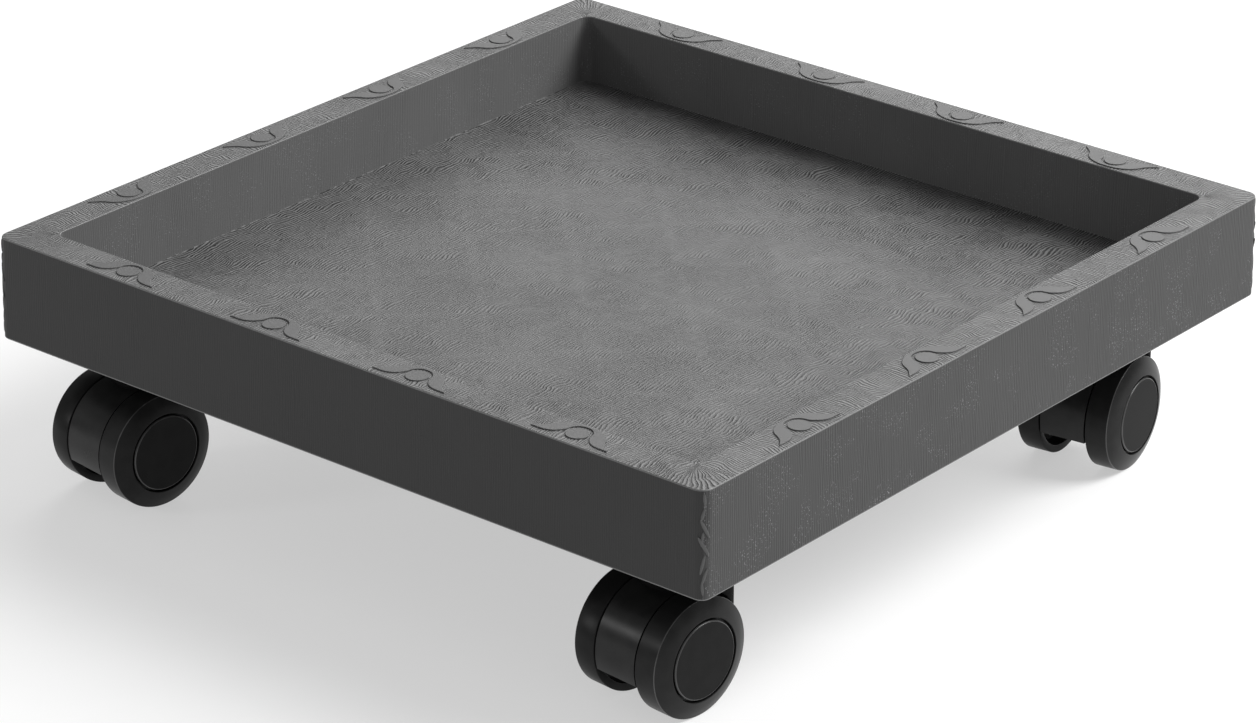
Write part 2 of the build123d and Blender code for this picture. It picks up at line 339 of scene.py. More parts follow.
def parallel_ribs(count, turn):
    """Parallel ribs that are evenly spaced either side of the middle, turned about the middle."""
    bpy.ops.object.select_all(action="DESELECT")
    bpy.ops.mesh.primitive_cube_add(size=1.0, location=(0, -(count - 1) / 2 * RIB_PITCH, 0))
    rib = bpy.context.object
    rib.scale = (2 * RIM_SIDE, RIB_THICKNESS, RIB_HEIGHT)
    bpy.ops.object.transform_apply()
    apply_modifier(rib, "ARRAY", count=count, use_relative_offset=False, use_constant_offset=True,
                   constant_offset_displace=(0, RIB_PITCH, 0))
    rib.rotation_euler = (0, 0, turn)
    rib.location = (0, 0, RIB_BOTTOM + RIB_HEIGHT / 2)
    bpy.ops.object.transform_apply()
    return rib


ribs = parallel_ribs(1, 0)
for count, turn in ((1, pi / 2), (RIBS_EACH_WAY, pi / 4), (RIBS_EACH_WAY, 3 * pi / 4)):
    combine(ribs, parallel_ribs(count, turn), "UNION")
core = rounded_square(CORE_SIDE, RIM_CORNER + WALL, SKIRT_BOTTOM)
bpy.ops.object.mode_set(mode="EDIT")
bpy.ops.mesh.extrude_region_move(TRANSFORM_OT_translate={"value": (0, 0, RIM_TOP - SKIRT_BOTTOM)})
bpy.ops.mesh.select_all(action="SELECT")
bpy.ops.mesh.normals_make_consistent(inside=False)
bpy.ops.object.mode_set(mode="OBJECT")
combine(ribs, core, "INTERSECT")
combine(tray, ribs, "UNION")

# A boss at each corner holds a caster's stem in a bore, with four gussets to the floor.
BOSS_RADIUS = 11.0 * MM
BOSS_BOTTOM = SKIRT_BOTTOM - 5.5 * MM
BORE_RADIUS = 4.0 * MM
BORE_DEPTH = 13.8 * MM
GUSSET_REACH = 9.0 * MM
GUSSET_DROP = 3.0 * MM
CORNERS = ("front_right", "front_left", "back_right", "back_left")
joints = {joint["name"]: joint for joint in frame["joints"]}
pivots = {corner: Vector(joints[f"{corner}_swivel"]["pos_m"]) for corner in CORNERS}


def cylinder(radius, low, high, sides=64, place=(0, 0), along_x=False):
    """A cylinder between two heights about an upright axis, or between two distances along X."""
    bpy.ops.object.select_all(action="DESELECT")
    middle = (low + high) / 2
    location = (middle, *place) if along_x else (*place, middle)
    bpy.ops.mesh.primitive_cylinder_add(
        vertices=sides, radius=radius, depth=high - low, location=location,
        rotation=(0, pi / 2 if along_x else 0, 0))
    bpy.ops.object.transform_apply()
    return bpy.context.object


for corner in CORNERS:
    place = pivots[corner].xy
    boss = cylinder(BOSS_RADIUS, BOSS_BOTTOM, FLOOR_UNDERSIDE + OVERLAP, place=place)
    for turn in (0, pi / 2):
        # A gusset is a bar through the boss, whose ends are drawn up to the ribs' lower edge.
        reach = 2 * (BOSS_RADIUS + GUSSET_REACH)
        height = FLOOR_UNDERSIDE + OVERLAP - RIB_BOTTOM
        bpy.ops.object.select_all(action="DESELECT")
        bpy.ops.mesh.primitive_cube_add(size=1.0, rotation=(0, 0, turn),
                                        location=(*place, RIB_BOTTOM + height / 2))
        gusset = bpy.context.object
        gusset.scale = (reach, RIB_THICKNESS, height)
        bpy.ops.object.transform_apply()
        bpy.ops.object.mode_set(mode="EDIT")
        select_faces(gusset, lambda middle, normal: normal.z < -SQUARE_ON)
        drop = SKIRT_BOTTOM - RIB_BOTTOM - GUSSET_DROP
        bpy.ops.mesh.extrude_region_move(TRANSFORM_OT_translate={"value": (0, 0, drop)})
        narrow = BOSS_RADIUS / (BOSS_RADIUS + GUSSET_REACH)
        stretch = (narrow, 1, 1) if turn == 0 else (1, narrow, 1)
        bpy.ops.transform.resize(value=stretch, center_override=(*place, 0))
        bpy.ops.object.mode_set(mode="OBJECT")
        combine(boss, gusset, "UNION")
    combine(tray, boss, "UNION")
    combine(tray, cylinder(BORE_RADIUS, BOSS_BOTTOM - OVERLAP, BOSS_BOTTOM + BORE_DEPTH, place=place),
            "DIFFERENCE")

# Sixteen scrolls in low relief on the rim: a bell-shaped leaf with pointed tails over a button.
SCROLL_PLACES = (-95.5, -30.5, 30.5, 95.5)
SCROLL_MIDDLE = RIM_SIDE / 2 - 6.8 * MM
LEAF_OUTER = ((-11.6, -1.2), (-8.9, 3.0), (-5.0, 5.3), (0.0, 6.0), (5.0, 5.3), (8.9, 3.0), (11.6, -1.2))
LEAF_INNER = ((8.5, -3.6), (5.2, -0.6), (3.7, 3.2), (0.0, 4.9), (-3.7, 3.2), (-5.2, -0.6), (-8.5, -3.6))
LEAF_TAIL = (15.0, -4.2)
LEAF_EDGE = 0.15 * MM
BUTTON_RADIUS = 3.8 * MM
BUTTON_RING = 1.1 * MM
BUTTON_DISH = 0.05 * MM
BUTTON_SIDES = 40
BUTTON_FLAT = 0.999
CURVE_STEPS = 5


def bezier(name, points, closed):
    """A Bezier curve through points (x, y, pointed), in millimetres, on Z = 0."""
    curve = bpy.data.curves.new(name, "CURVE")
    curve.resolution_u = CURVE_STEPS
    spline = curve.splines.new("BEZIER")
    spline.bezier_points.add(len(points) - 1)
    spline.use_cyclic_u = closed
    for knot, (x, y, pointed) in zip(spline.bezier_points, points):
        knot.co = (x * MM, y * MM, 0)
        knot.handle_left_type = knot.handle_right_type = "VECTOR" if pointed else "AUTO"
    drawn = bpy.data.objects.new(name, curve)
    bpy.context.collection.objects.link(drawn)
    make_active(drawn)
    return drawn


def scroll():
    """One scroll about its own middle, its crest towards +Y, sunk a little below Z = 0."""
    outline = [(-LEAF_TAIL[0], LEAF_TAIL[1], True)] + [(*point, False) for point in LEAF_OUTER]
    outline += [(*LEAF_TAIL, True)] + [(*point, False) for point in LEAF_INNER]
    leaf = bezier("leaf", outline, closed=True)
    leaf.data.dimensions = "2D"
    leaf.data.fill_mode = "BOTH"
    leaf.data.extrude = (RELIEF_HEIGHT + OVERLAP) / 2 - LEAF_EDGE
    leaf.data.bevel_depth = LEAF_EDGE
    leaf.data.bevel_resolution = 2
    leaf.data.offset = -LEAF_EDGE
    bpy.ops.object.convert(target="MESH")
    leaf = bpy.context.object
    leaf.location = (0, 0, (RELIEF_HEIGHT - OVERLAP) / 2)
    bpy.ops.object.transform_apply()
    bpy.ops.object.mode_set(mode="EDIT")
    bpy.ops.mesh.select_all(action="SELECT")
    bpy.ops.mesh.remove_doubles(threshold=MERGED)
    bpy.ops.mesh.normals_make_consistent(inside=False)
    bpy.ops.object.mode_set(mode="OBJECT")

    button = cylinder(BUTTON_RADIUS, -OVERLAP, RELIEF_HEIGHT, sides=BUTTON_SIDES)
    bpy.ops.object.mode_set(mode="EDIT")
    select_faces(button, lambda middle, normal: normal.z > SQUARE_ON)
    bpy.ops.mesh.bevel(offset=LEAF_EDGE, segments=3, affect="EDGES")
    select_faces(button, lambda middle, normal: normal.z > BUTTON_FLAT)
    bpy.ops.mesh.inset(thickness=BUTTON_RING)
    bpy.ops.transform.translate(value=(0, 0, -BUTTON_DISH))
    bpy.ops.object.mode_set(mode="OBJECT")
    return join([leaf, button], "scroll")


def placed_copy(master, name, location, turn, mirrored=False):
    """A copy with its own mesh, turned about the upright axis and moved, its place in its mesh."""
    copy = master.copy()
    copy.data = master.data.copy()
    copy.name = name
    bpy.context.collection.objects.link(copy)
    copy.rotation_euler = (0, 0, turn)
    copy.location = location
    copy.scale = (-1 if mirrored else 1, 1, 1)
    make_active(copy)
    bpy.ops.object.transform_apply()
    if mirrored:
        bpy.ops.object.mode_set(mode="EDIT")
        bpy.ops.mesh.select_all(action="SELECT")
        bpy.ops.mesh.normals_make_consistent(inside=False)
        bpy.ops.object.mode_set(mode="OBJECT")
    return copy


one_scroll = scroll()
scrolls = []
for quarter in range(4):
    turn = quarter * pi / 2
    for place in SCROLL_PLACES:
        middle = Matrix.Rotation(turn, 3, "Z") @ Vector((place * MM, -SCROLL_MIDDLE, RIM_TOP))
        scrolls.append(placed_copy(one_scroll, "scroll", middle, turn))
bpy.data.objects.remove(one_scroll)
combine(tray, join(scrolls, "scrolls"), "UNION")

# Slivers like bark lie along the four upright corners. Each is given by how many millimetres it is
# below the rim, how far round the corner and how slanted in degrees, and how long and wide in
# millimetres.
SLIVERS = (
    (3.2, 50, 4, 4.6, 1.0),
    (8.2, 43, -14, 5.0, 1.0),
    (12.6, 52, 24, 7.0, 1.1),
    (18.6, 48, 28, 7.6, 1.1),
    (24.4, 43, -12, 7.0, 1.0),
    (28.4, 53, -16, 5.6, 1.0),
    (32.4, 42, 5, 4.6, 0.9),
    (16.0, 41, -8, 5.0, 0.9),
)
SLIVER_PROUD = 0.3 * MM
bark = None
for drop, round_way, slant, length, width in SLIVERS:
    height = RIM_TOP - drop * MM
    up = (height - SKIRT_BOTTOM) / (RIM_TOP - SKIRT_BOTTOM)
    radius = FOOT_CORNER + up * (RIM_CORNER - FOOT_CORNER)
    half = (FOOT_SIDE + up * (RIM_SIDE - FOOT_SIDE)) / 2
    facing = Matrix.Rotation(radians(round_way), 4, "Z")
    middle = Vector((half - radius, half - radius, height)) + facing @ Vector((radius, 0, 0))
    bpy.ops.object.select_all(action="DESELECT")
    bpy.ops.mesh.primitive_uv_sphere_add(segments=12, ring_count=10, radius=1.0)
    sliver = bpy.context.object
    stretch = Matrix.Diagonal((SLIVER_PROUD, width / 2 * MM, length / 2 * MM, 1))
    slanted = Matrix.Rotation(radians(slant), 4, "X")
    sliver.data.transform(Matrix.Translation(middle) @ facing @ slanted @ stretch)
    if bark is None:
        bark = sliver
    else:
        combine(bark, sliver, "UNION")
# What would stand outside the square that the skirt's foot fills is cut off.
bpy.ops.object.select_all(action="DESELECT")
bpy.ops.mesh.primitive_cube_add(size=FOOT_SIDE)
combine(bark, bpy.context.object, "INTERSECT")
barks = [placed_copy(bark, "bark", (0, 0, 0), quarter * pi / 2) for quarter in range(4)]
bpy.data.objects.remove(bark)
combine(tray, join(barks, "barks"), "UNION")
TRAY_SHARP = 32
smooth(tray, TRAY_SHARP)

# Finishes. Every finish is the same charcoal polypropylene, moulded against steel that was etched
# with a grain or spark-eroded to a fine grit. It is dull, and mottled, so it is never one flat grey.
# Pitches, strokes and spacings are in metres, patches and mottles count how many go to a metre, and
# shares, limits of noise and least strengths have no unit.
# Several finishes carry painted light and shade in their tones: the grain's grooves and crests, pale lines over
# the ribs, paler edges and slivers, and darker skirts.
RIM_PITCH = 1.0 * MM
RIM_STROKE = 7.0 * MM
RIM_FAN = 9.0 * MM
RIM_LEAST = 0.45
RIM_LAYERS = (0.13, 0.29, 0)
FLOOR_PITCH = 1.1 * MM
FLOOR_STROKE = 6.0 * MM
FLOOR_LEAST = 0.4
FLOOR_SHALLOW_TO = 30.0 * MM
FLOOR_DEEP_FROM = 150.0 * MM
WALL_PITCH = 0.9 * MM
WALL_STROKE = 30.0 * MM
WALL_LEAST = 0.25
WANDER = 11.0
WAVER_SPACING = 11.0 * MM
WAVER = 1.6 * MM
WAVE_CLIP = 0.7
FADED_BELOW = 0.35
FULL_ABOVE = 0.6
SPECK = 0.6 * MM
SPECK_FROM = 0.64
SPECK_TO = 0.69
SPECK_CLUSTER = 14.0 * MM
CLUSTER_FROM = 0.47
CLUSTER_TO = 0.6
SPARK_GRIT = 0.25 * MM
SPARK_PATCHES = 60.0
MOTTLES = 22.0
CREST_PAINTED_HIGHLIGHT = 0.8
DARK_BELOW = 0.3
LIGHT_ABOVE = 1.5
SINK_REACH = 4.0 * MM
SINK_SHARE = 0.2
SINK_PAINTED_SHEEN = 0.06
FLECK = "#98989a"
FLECK_SHARE = 0.5
POLYPROPYLENE_IOR = 1.49
ROUGHNESS_SPREAD = 0.05


def stretched_noise(tree, place, x, y, z):
    """Noise whose grains measure x by y by z metres."""
    stretched = add(tree, "ShaderNodeVectorMath", {0: place, 1: (1 / x, 1 / y, 1 / z)},
                    operation="MULTIPLY")
    return add(tree, "ShaderNodeTexNoise", {"Vector": stretched, "Scale": 1.0, "Detail": 2.0})


def wavered(tree, place, spacing, amount):
    """The place, pushed about so that straight grain winds."""
    noise = add(tree, "ShaderNodeTexNoise", {"Vector": place, "Scale": 1 / spacing, "Detail": 1.5},
                out="Color")
    push = add(tree, "ShaderNodeVectorMath", {0: noise, 1: (0.5, 0.5, 0.5)}, operation="SUBTRACT")
    push = add(tree, "ShaderNodeVectorMath", {0: push, "Scale": 4 * amount}, operation="SCALE")
    return add(tree, "ShaderNodeVectorMath", {0: place, 1: push}, operation="ADD")


def ridges(tree, laid, pitch, stroke, least):
    """Ridges along Y, one to each pitch of X, that wander, fork and fade in places to the least."""
    wander = stretched_noise(tree, laid, 3 * pitch, stroke, stroke)
    across = add(tree, "ShaderNodeSeparateXYZ", {0: laid})
    turns = add(tree, "ShaderNodeMath", {0: across, 1: 2 * pi / pitch}, operation="MULTIPLY")
    turns = add(tree, "ShaderNodeMath", {0: wander, 1: WANDER, 2: turns}, operation="MULTIPLY_ADD")
    wave = add(tree, "ShaderNodeMath", {0: turns}, operation="SINE")
    # The crests and grooves are flattened, so that the wave is nearer to lines than to ripples.
    wave = add(tree, "ShaderNodeMapRange",
               {"Value": wave, "From Min": -WAVE_CLIP, "From Max": WAVE_CLIP,
                "To Min": -0.5, "To Max": 0.5})
    strength = stretched_noise(tree, laid, 5 * pitch, stroke, stroke)
    strength = add(tree, "ShaderNodeMapRange",
                   {"Value": strength, "From Min": FADED_BELOW, "From Max": FULL_ABOVE,
                    "To Min": least},
                   interpolation_type="SMOOTHSTEP")
    return add(tree, "ShaderNodeMath", {0: wave, 1: strength, 2: 0.5}, operation="MULTIPLY_ADD")


def specks(tree, place):
    """Small raised specks where the etch has pitted the steel, in loose clusters."""
    fine = add(tree, "ShaderNodeTexNoise", {"Vector": place, "Scale": 1 / SPECK, "Detail": 1.0})
    fine = add(tree, "ShaderNodeMapRange",
               {"Value": fine, "From Min": SPECK_FROM, "From Max": SPECK_TO},
               interpolation_type="SMOOTHSTEP")
    clusters = add(tree, "ShaderNodeTexNoise", {"Vector": place, "Scale": 1 / SPECK_CLUSTER})
    clusters = add(tree, "ShaderNodeMapRange",
                   {"Value": clusters, "From Min": CLUSTER_FROM, "From Max": CLUSTER_TO},
                   interpolation_type="SMOOTHSTEP")
    return add(tree, "ShaderNodeMath", {0: fine, 1: clusters}, operation="MULTIPLY")


def rim_grain(tree, place):
    """Wood grain across the rim, fanning round its corners. Gives the height and the specks."""
    corner = RECESS_SIDE / 2
    across = add(tree, "ShaderNodeVectorMath", {0: place}, operation="ABSOLUTE")
    within = add(tree, "ShaderNodeVectorMath", {0: across, 1: (corner, corner, 0)},
                 operation="MINIMUM")
    beyond = add(tree, "ShaderNodeVectorMath", {0: across, 1: within}, operation="SUBTRACT")
    beyond = add(tree, "ShaderNodeVectorMath", {0: beyond, 1: (1, 1, 0)}, operation="MULTIPLY")
    outward = add(tree, "ShaderNodeVectorMath", {0: beyond}, out="Value", operation="LENGTH")
    within_x = add(tree, "ShaderNodeSeparateXYZ", {0: within})
    beyond_x = add(tree, "ShaderNodeSeparateXYZ", {0: beyond})
    beyond_y = beyond_x.node.outputs[1]
    within_y = within_x.node.outputs[1]
    turn = add(tree, "ShaderNodeMath", {0: beyond_y, 1: beyond_x}, operation="ARCTAN2")
    along = add(tree, "ShaderNodeMath", {0: within_y, 1: within_x}, operation="SUBTRACT")
    along = add(tree, "ShaderNodeMath", {0: turn, 1: RIM_FAN, 2: along}, operation="MULTIPLY_ADD")
    # The four sides would be mirror images of each other, so each reads another layer of the noise.
    layer = add(tree, "ShaderNodeVectorMath", {0: place, 1: RIM_LAYERS}, out="Value",
                operation="DOT_PRODUCT")
    laid = add(tree, "ShaderNodeCombineXYZ", {0: along, 1: outward, 2: layer})
    laid = wavered(tree, laid, WAVER_SPACING, WAVER)
    return ridges(tree, laid, RIM_PITCH, RIM_STROKE, RIM_LEAST), specks(tree, place)


def floor_grain(tree, place):
    """Creased grain that runs front to back and swirls, deeper towards the walls."""
    laid = wavered(tree, place, 2 * WAVER_SPACING, 1.5 * WAVER)
    grain = ridges(tree, laid, FLOOR_PITCH, FLOOR_STROKE, FLOOR_LEAST)
    level = add(tree, "ShaderNodeVectorMath", {0: place, 1: (1, 1, 0)}, operation="MULTIPLY")
    reach = add(tree, "ShaderNodeVectorMath", {0: level}, out="Value", operation="LENGTH")
    depth = add(tree, "ShaderNodeMapRange",
                {"Value": reach, "From Min": FLOOR_SHALLOW_TO, "From Max": FLOOR_DEEP_FROM,
                 "To Min": 0.5, "To Max": 1.5})
    about = add(tree, "ShaderNodeMath", {0: grain, 1: 0.5}, operation="SUBTRACT")
    grain = add(tree, "ShaderNodeMath", {0: about, 1: depth, 2: 0.5}, operation="MULTIPLY_ADD")
    return grain, specks(tree, place)


def wall_grain(tree, place):
    """Fine upright lines, and the specks."""
    on_plan = add(tree, "ShaderNodeSeparateXYZ", {0: place})
    along = add(tree, "ShaderNodeMath", {0: on_plan, 1: on_plan.node.outputs[1]}, operation="ADD")
    laid = add(tree, "ShaderNodeCombineXYZ", {0: along, 1: on_plan.node.outputs[2]})
    laid = wavered(tree, laid, 3 * WAVER_SPACING, 0.3 * WAVER)
    return ridges(tree, laid, WALL_PITCH, WALL_STROKE, WALL_LEAST), specks(tree, place)


def plain_grain(tree, place):
    """Fine even grit, where the mould was spark-eroded and not etched, and faint wide patches."""
    grit = add(tree, "ShaderNodeTexNoise", {"Vector": place, "Scale": 1 / SPARK_GRIT, "Detail": 2.0})
    return grit, add(tree, "ShaderNodeTexNoise", {"Vector": place, "Scale": SPARK_PATCHES})


def sinks(tree, place):
    """How near a point is to a rib underneath, from 0 to 1: the plastic sinks a little there."""
    near = None
    for direction in ((1, 1, 0), (1, -1, 0)):
        unit = Vector(direction).normalized() / RIB_PITCH
        step = add(tree, "ShaderNodeVectorMath", {0: place, 1: unit}, out="Value",
                   operation="DOT_PRODUCT")
        step = add(tree, "ShaderNodeMath", {0: step, 1: 0.5}, operation="SUBTRACT")
        off_rib = add(tree, "ShaderNodeMath", {0: step, 1: 0.5}, operation="PINGPONG")
        line = add(tree, "ShaderNodeMapRange",
                   {"Value": off_rib, "From Max": SINK_REACH / RIB_PITCH, "To Min": 1.0, "To Max": 0.0},
                   interpolation_type="SMOOTHSTEP")
        if near is None:
            near = line
        else:
            near = add(tree, "ShaderNodeMath", {0: near, 1: line}, operation="MAXIMUM")
    distance = add(tree, "ShaderNodeVectorMath", {0: place}, operation="ABSOLUTE")
    for axis in (0, 1):
        off_rib = add(tree, "ShaderNodeSeparateXYZ", {0: distance}, out=axis)
        line = add(tree, "ShaderNodeMapRange",
                   {"Value": off_rib, "From Max": SINK_REACH, "To Min": 1.0, "To Max": 0.0},
                   interpolation_type="SMOOTHSTEP")
        near = add(tree, "ShaderNodeMath", {0: near, 1: line}, operation="MAXIMUM")
    return near


def moulded_polypropylene(name, grain, grain_depth, dark, light, gloss=0.5, rough=0.55,
                          sunk=False, flecked=False):
    """Charcoal polypropylene, its grain a depth in millimetres, painted dark in grooves and light on crests as
    painted shade and highlight.
    """
    material, tree, place = new_material(name)
    height, flecks = grain(tree, place)
    mottle = add(tree, "ShaderNodeTexNoise", {"Vector": place, "Scale": MOTTLES, "Detail": 4.0})
    # The grain's height is painted into the tone over the random mottle: crests lighter as painted highlight,
    # grooves darker as painted shade.
    shade = add(tree, "ShaderNodeMath", {0: height, 1: CREST_PAINTED_HIGHLIGHT, 2: mottle},
                operation="MULTIPLY_ADD")
    shade = add(tree, "ShaderNodeMapRange",
                {"Value": shade, "From Min": DARK_BELOW, "From Max": LIGHT_ABOVE})
    relief = add(tree, "ShaderNodeMath", {0: height, 1: grain_depth}, operation="MULTIPLY")
    relief = add(tree, "ShaderNodeMath", {0: flecks, 1: grain_depth, 2: relief},
                 operation="MULTIPLY_ADD")
    if sunk:
        near = sinks(tree, place)
        relief = add(tree, "ShaderNodeMath", {0: near, 1: -SINK_SHARE * grain_depth, 2: relief},
                     operation="MULTIPLY_ADD")
        # Over the ribs the tone is painted paler: a painted sheen along the sink marks.
        shade = add(tree, "ShaderNodeMath", {0: near, 1: SINK_PAINTED_SHEEN, 2: shade},
                    operation="MULTIPLY_ADD")
    tone = add(tree, "ShaderNodeMix", {0: shade, 6: linear(dark), 7: linear(light)}, out=2,
               data_type="RGBA")
    if flecked:
        share = add(tree, "ShaderNodeMath", {0: flecks, 1: FLECK_SHARE}, operation="MULTIPLY")
        tone = add(tree, "ShaderNodeMix", {0: share, 6: tone, 7: linear(FLECK)}, out=2,
                   data_type="RGBA")
    bump = add(tree, "ShaderNodeBump", {"Height": relief, "Distance": MM, "Strength": 1.0})
    roughness = add(tree, "ShaderNodeMapRange",
                    {"Value": mottle, "To Min": rough - ROUGHNESS_SPREAD,
                     "To Max": rough + ROUGHNESS_SPREAD})
    finish_with(tree, {"Base Color": tone, "Roughness": roughness, "Normal": bump,
                       "IOR": POLYPROPYLENE_IOR, "Specular IOR Level": gloss})
    return material


SPARK_DEPTH = 0.02
RIM_DEPTH = 0.32
FLOOR_DEPTH = 0.27
RECESS_DEPTH = 0.05
SIDE_DEPTH = 0.07
END_DEPTH = 0.04
HIGHLIGHT_ROUGHNESS = 0.36
tray_finishes = {
    # Even and dull, as the mould's plain steel leaves it.
    "underside": moulded_polypropylene(
        "spark-eroded polypropylene", plain_grain, SPARK_DEPTH, "#3a3a3a", "#454545"),
    # Lines of wood grain, the grooves painted dark as painted shade and the crests painted light as painted
    # highlight.
    "rim": moulded_polypropylene(
        "grain-etched polypropylene rim, painted shade and highlight", rim_grain, RIM_DEPTH, "#262626", "#7e7e7e"),
    # The edges are painted paler as painted highlight, and a little shiny, so each shows as a fine light line.
    "edge": moulded_polypropylene(
        "polypropylene edges, painted highlight", plain_grain, SPARK_DEPTH, "#5e5e5e", "#6e6e6e",
        rough=HIGHLIGHT_ROUGHNESS),
    # Swirling creases that sparkle where the light grazes, painted dark in the grooves and light on the crests as
    # painted shade and highlight, over faint pale lines above the ribs that are painted sheen.
    "floor": moulded_polypropylene(
        "crease-etched polypropylene floor", floor_grain, FLOOR_DEPTH, "#292929", "#6e6e6e",
        sunk=True),
    # Faint upright lines, and small pale flecks.
    "recess": moulded_polypropylene(
        "line-etched polypropylene walls", wall_grain, RECESS_DEPTH, "#595959", "#676767",
        gloss=0.4, flecked=True),
    # Upright lines and flecks again, painted darker than the recess walls as painted shade, and duller.
    "side_skirt": moulded_polypropylene(
        "line-etched polypropylene sides, painted shade", wall_grain, SIDE_DEPTH, "#3b3b3b", "#494949",
        gloss=0.25, flecked=True),
    # The finest upright lines and no flecks: the plainest of the etched faces, and painted the darkest as painted
    # shade.
    "end_skirt": moulded_polypropylene(
        "line-etched polypropylene ends, painted shade", wall_grain, END_DEPTH, "#343434", "#3b3b3b",
        gloss=0.22),
    # Slivers painted lighter as painted highlight, and a little shiny, so that their backs glint.
    "bark": moulded_polypropylene(
        "polypropylene slivers, painted highlight", plain_grain, SPARK_DEPTH, "#444444", "#525252",
        rough=HIGHLIGHT_ROUGHNESS),
    # Smooth and even, so that a scroll stands out of the grain round it.
    "scroll": moulded_polypropylene(
        "smooth polypropylene scrolls", plain_grain, SPARK_DEPTH, "#4e4e4e", "#5a5a5a"),
}
# How far along an axis a face's normal points: upright faces are under the first of these, faces
# that turn up over the second, and level ones over the third.
SLOPING = 0.1
TURNED_UP = 0.5
LEVEL = 0.95
SKIRT_BAND = 3.0 * MM
SCROLL_CLEAR = 0.02 * MM


def stands_proud(face):
    """Whether a face is on one of the slivers, clear of the rounded corner that carries them."""
    up = (face.center.z - SKIRT_BOTTOM) / (RIM_TOP - SKIRT_BOTTOM)
    radius = FOOT_CORNER + up * (RIM_CORNER - FOOT_CORNER)
    centre = (FOOT_SIDE + up * (RIM_SIDE - FOOT_SIDE)) / 2 - radius
    beyond = Vector((abs(face.center.x) - centre, abs(face.center.y) - centre))
    return min(beyond) > 0 and beyond.length > radius + SLIVER_PROUD / 4


def tray_finish(face):
    """Which finish a face of the tray takes, by its place and the way it faces."""
    across = max(abs(face.center.x), abs(face.center.y))
    if face.center.z > RIM_TOP + SCROLL_CLEAR:
        return "scroll"
    # The rounded rim edges take the paler finish: a painted highlight.
    if face.center.z > RIM_TOP - RIM_EDGE and SLOPING < face.normal.z < LEVEL:
        return "edge"
    if face.normal.z > TURNED_UP:
        return "floor" if across < RECESS_SIDE / 2 and face.center.z < RIM_TOP - WALL else "rim"
    outside = across > FOOT_SIDE / 2 - SKIRT_BAND and face.center.z > SKIRT_BOTTOM
    faces_out = face.center.xy.dot(face.normal.xy) > 0
    inside = across < RECESS_SIDE / 2 + MM and face.center.z > RECESS_FLOOR
    at_foot = face.center.z < SKIRT_BOTTOM + FOOT_EDGE and face.normal.z < -SLOPING
    # So does the skirt's rounded foot: a painted highlight along it.
    if outside and faces_out and at_foot:
        return "edge"
    if outside and faces_out:
        if stands_proud(face):
            return "bark"
        # Skirt faces along Y take the darker end finish and those along X the side finish: painted shade that
        # differs by the way a face turns.
        return "side_skirt" if abs(face.normal.x) > abs(face.normal.y) else "end_skirt"
    return "recess" if inside else "underside"


def give_finishes(piece, finishes, chooser):
    """Puts several finishes on one piece, face by face."""
    piece.data.materials.clear()
    for finish in finishes.values():
        piece.data.materials.append(finish)
    slots = list(finishes)
    for face in piece.data.polygons:
        face.material_index = slots.index(chooser(face))


give_finishes(tray, tray_finishes, tray_finish)
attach(tray, "tray")
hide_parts("tray")

# ---------------------------------------------------------------------------------------------
# Casters. Four alike, each modelled about its own pivot with its axle behind it towards -Y, then
# copied to its corner and turned as it stands there.
# ---------------------------------------------------------------------------------------------

roll_axes = {corner: Vector(joints[f"{corner}_right_wheel_roll"]["axis"]) for corner in CORNERS}
turns = {corner: atan2(axis.y, axis.x) for corner, axis in roll_axes.items()}
TRAIL = 11.0 * MM
AXLE_HEIGHT = Vector(joints["front_right_right_wheel_roll"]["pos_m"]).z
AXLE = (-TRAIL, AXLE_HEIGHT)


NYLON_CLOUD = 6.0 * MM
NYLON_GRIT = 0.3 * MM
NYLON_GRIT_DEPTH = 0.01 * MM
NYLON_IOR = 1.53
GLOSS_SPREAD = 0.06


def nylon(name, dark, light, roughness, gloss_level, grit=NYLON_GRIT,
          grit_depth=NYLON_GRIT_DEPTH):
    """Black glass-filled nylon: nearly black, with a soft gloss and a faint cloudiness."""
    material, tree, place = new_material(name)
    cloud = add(tree, "ShaderNodeTexNoise",
                {"Vector": place, "Scale": 1 / NYLON_CLOUD, "Detail": 3.0})
    grain = add(tree, "ShaderNodeTexNoise", {"Vector": place, "Scale": 1 / grit, "Detail": 2.0})
    shade = add(tree, "ShaderNodeMapRange", {"Value": cloud, "From Min": 0.3, "From Max": 0.7},
                interpolation_type="SMOOTHSTEP")
    tone = add(tree, "ShaderNodeMix", {0: shade, 6: linear(dark), 7: linear(light)}, out=2,
               data_type="RGBA")
    gloss = add(tree, "ShaderNodeMapRange",
                {"Value": cloud, "To Min": roughness - GLOSS_SPREAD,
                 "To Max": roughness + GLOSS_SPREAD})
    bump = add(tree, "ShaderNodeBump", {"Height": grain, "Distance": grit_depth})
    finish_with(tree, {"Base Color": tone, "Roughness": gloss, "Normal": bump, "IOR": NYLON_IOR,
                       "Specular IOR Level": gloss_level})
    return material


def axle_cylinder(radius, low, high, sides=96):
    """A cylinder about the axle, between two distances from the caster's middle."""
    return cylinder(radius, low, high, sides=sides, place=AXLE, along_x=True)


def both_sides(radius, low, high):
    """Two cylinders about the axle, alike to the left and the right."""
    return join([axle_cylinder(radius, low, high), axle_cylinder(radius, -high, -low)], "pair")


